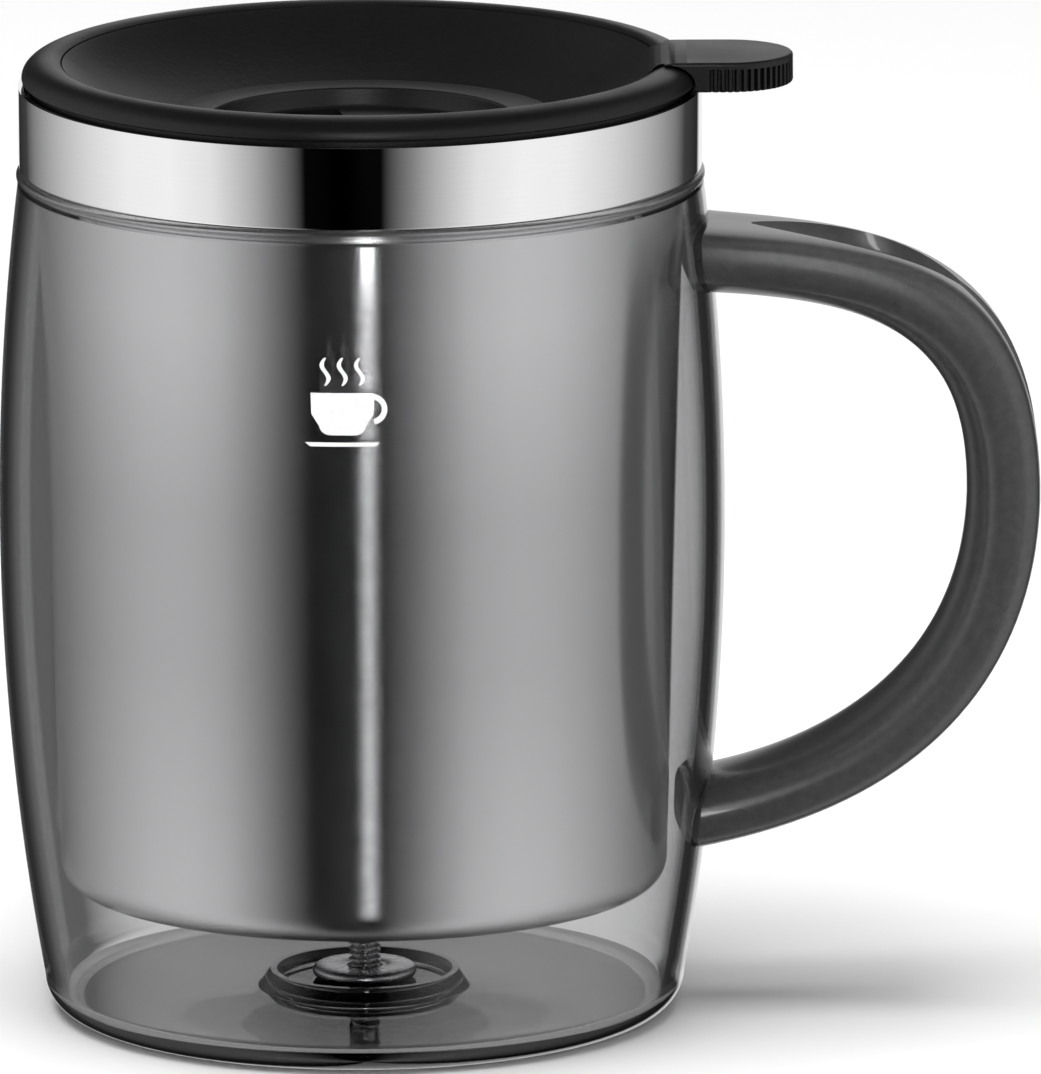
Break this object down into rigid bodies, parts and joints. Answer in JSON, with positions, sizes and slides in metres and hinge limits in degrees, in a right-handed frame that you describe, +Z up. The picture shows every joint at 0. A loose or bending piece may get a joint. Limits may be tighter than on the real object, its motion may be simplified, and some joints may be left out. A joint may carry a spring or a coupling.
{
  "type": "insulated desk mug",
  "caption": "Insulated desk mug: steel cup in a smoky clear barrel shell, C handle, and a push-in lid with a rotary closure lever.",
  "frame": {"origin": "on the mug's axis at the level of the table it stands on", "axes": "+Z up along the mug's axis, +X towards the handle and the closure lever"},
  "size_m": [0.1296, 0.0904, 0.1211],
  "materials": {
    "steel": "polished band, fine circumferential brushing on the cup",
    "fastener_steel": "turned",
    "clear_smoke": "clear smoke tint, polished",
    "clear_gasket": "clear, soft",
    "handle_smoke": "satin smoke tint",
    "seal": "matte",
    "base_plastic": "moulded",
    "lid_black": "fine moulded grain",
    "closure_black": "fine moulded grain",
    "white_ink": "printed emblem",
    "silicone": "soft satin"
  },
  "bodies": {
    "mug": {"steel_liner": "steel", "stud": "fastener_steel", "outer_shell": "clear_smoke", "lip_gasket": "clear_gasket", "handle": "handle_smoke", "stop_nut": "fastener_steel", "boss_seal": "seal", "base_nut": "base_plastic", "base_seal": "seal"},
    "lid": {"lid_shell": "lid_black", "lid_gasket": "silicone", "drink_seal": "silicone"},
    "closure": {"closure_disc": "closure_black", "hub_ring": "silicone", "hub_clip": "fastener_steel"}
  },
  "joints": [
    {"name": "lid_lift", "type": "slide", "parent": "mug", "child": "lid", "axis": [0, 0, 1], "range_m": [0, 0.06]},
    {"name": "closure_turn", "type": "hinge", "parent": "lid", "child": "closure", "pos_m": [0, 0, 0.11], "axis": [0, 0, 1], "range_deg": [0, 60]}
  ]
}
